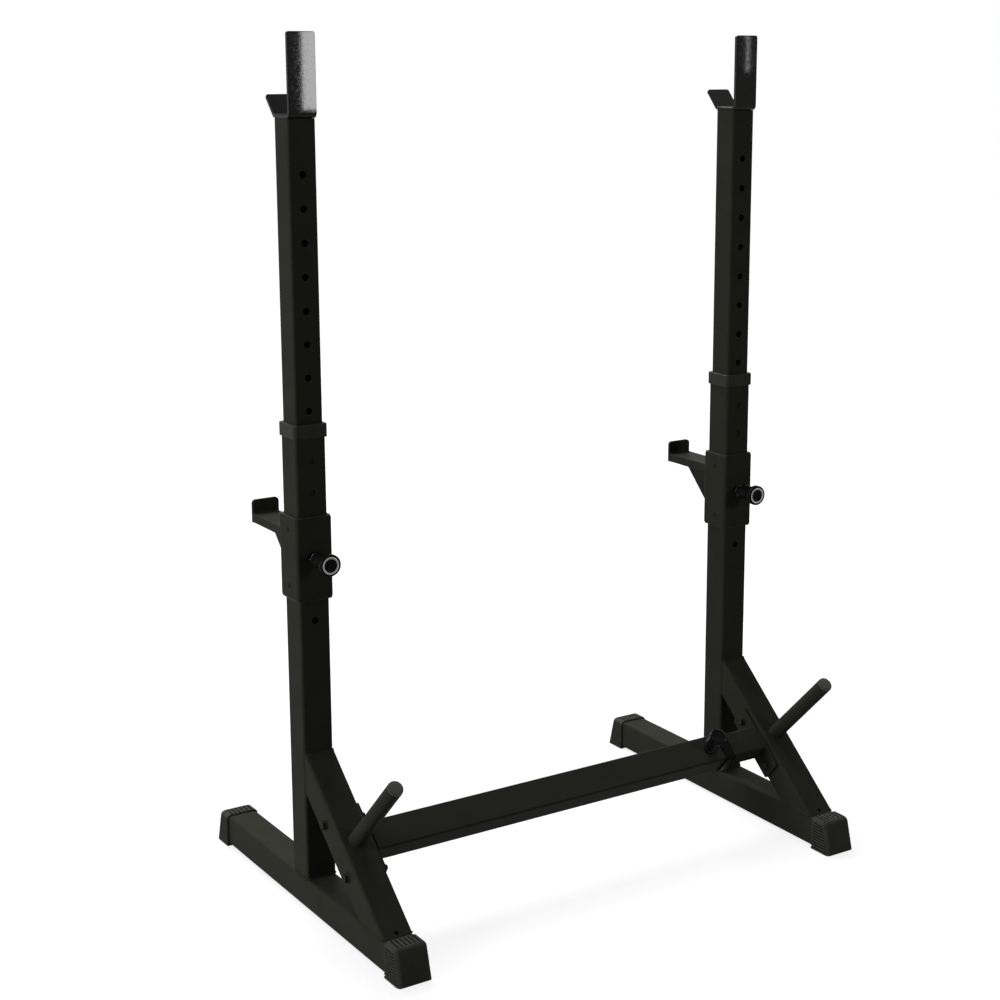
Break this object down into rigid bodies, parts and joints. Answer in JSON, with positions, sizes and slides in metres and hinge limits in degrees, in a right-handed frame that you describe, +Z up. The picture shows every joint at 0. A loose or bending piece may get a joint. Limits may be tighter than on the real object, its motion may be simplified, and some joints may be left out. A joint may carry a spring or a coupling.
{
  "type": "squat stand",
  "caption": "Squat stand with telescoping uprights, bent bar hooks, sliding spotter arms, pull pins, angled plate-storage pegs and a telescoping crossbar that joins the braced bases.",
  "frame": {"origin": "on the floor, in the middle of the overall box", "axes": "+Z up, +X along the crossbar from the left stand to the right stand as seen from the front, +Y towards the lifter, where the spotter arms reach; the storage pegs and pull pins are on the -Y side"},
  "size_m": [0.8886, 0.6452, 1.3511],
  "materials": {
    "frame": "black powder coat, satin",
    "hook": "black, glossy",
    "plastic": "black moulded plastic",
    "rubber": "dark grey ribbed rubber",
    "steel": "bright zinc-plated steel"
  },
  "bodies": {
    "left_stand": {"left_base_tube": "frame", "left_front_foot_cap": "rubber", "left_rear_foot_cap": "rubber", "left_upright_tube": "frame", "left_upright_collar": "plastic", "left_brace_tube": "frame", "left_storage_peg": "frame", "left_peg_plug": "plastic", "left_crossbar_plate": "frame", "left_upper_bolt": "frame", "left_upper_nut": "frame", "left_lower_bolt": "frame", "left_lower_nut": "frame", "crossbar_outer_tube": "frame", "crossbar_collar": "plastic", "crossbar_pin_housing": "steel", "crossbar_pin_spring": "steel"},
    "right_stand": {"right_base_tube": "frame", "right_front_foot_cap": "rubber", "right_rear_foot_cap": "rubber", "right_upright_tube": "frame", "right_upright_collar": "plastic", "right_brace_tube": "frame", "right_storage_peg": "frame", "right_peg_plug": "plastic", "right_crossbar_plate": "frame", "right_upper_bolt": "frame", "right_upper_nut": "frame", "right_lower_bolt": "frame", "right_lower_nut": "frame", "crossbar_inner_tube": "frame"},
    "left_upper": {"left_upper_tube": "frame", "left_bar_hook": "hook"},
    "right_upper": {"right_upper_tube": "frame", "right_bar_hook": "hook"},
    "left_carriage": {"left_carriage_sleeve": "frame", "left_carriage_liner": "plastic", "left_upper_liner_screw": "steel", "left_lower_liner_screw": "steel", "left_spotter_arm": "frame", "left_spotter_stop": "frame", "left_spotter_gusset": "frame", "left_pin_housing": "steel", "left_pin_spring": "steel"},
    "right_carriage": {"right_carriage_sleeve": "frame", "right_carriage_liner": "plastic", "right_upper_liner_screw": "steel", "right_lower_liner_screw": "steel", "right_spotter_arm": "frame", "right_spotter_stop": "frame", "right_spotter_gusset": "frame", "right_pin_housing": "steel", "right_pin_spring": "steel"},
    "left_pin": {"left_pull_pin": "steel", "left_pull_knob": "plastic"},
    "right_pin": {"right_pull_pin": "steel", "right_pull_knob": "plastic"},
    "crossbar_pin": {"crossbar_pull_pin": "steel", "crossbar_pull_knob": "plastic"}
  },
  "joints": [
    {"name": "stand_spacing", "type": "slide", "parent": "left_stand", "child": "right_stand", "axis": [1, 0, 0], "range_m": [0, 0.2]},
    {"name": "left_height", "type": "slide", "parent": "left_stand", "child": "left_upper", "axis": [0, 0, 1], "range_m": [-0.425, 0.075]},
    {"name": "right_height", "type": "slide", "parent": "right_stand", "child": "right_upper", "axis": [0, 0, 1], "range_m": [-0.425, 0.075]},
    {"name": "left_carriage_height", "type": "slide", "parent": "left_stand", "child": "left_carriage", "axis": [0, 0, 1], "range_m": [-0.1, 0.1]},
    {"name": "right_carriage_height", "type": "slide", "parent": "right_stand", "child": "right_carriage", "axis": [0, 0, 1], "range_m": [-0.1, 0.1]},
    {"name": "left_pin_pull", "type": "slide", "parent": "left_carriage", "child": "left_pin", "axis": [0, 1, 0], "range_m": [0, 0.008]},
    {"name": "right_pin_pull", "type": "slide", "parent": "right_carriage", "child": "right_pin", "axis": [0, 1, 0], "range_m": [0, 0.008]},
    {"name": "crossbar_pin_pull", "type": "slide", "parent": "left_stand", "child": "crossbar_pin", "axis": [0, 0.6468, -0.7627], "range_m": [0, 0.006]}
  ]
}
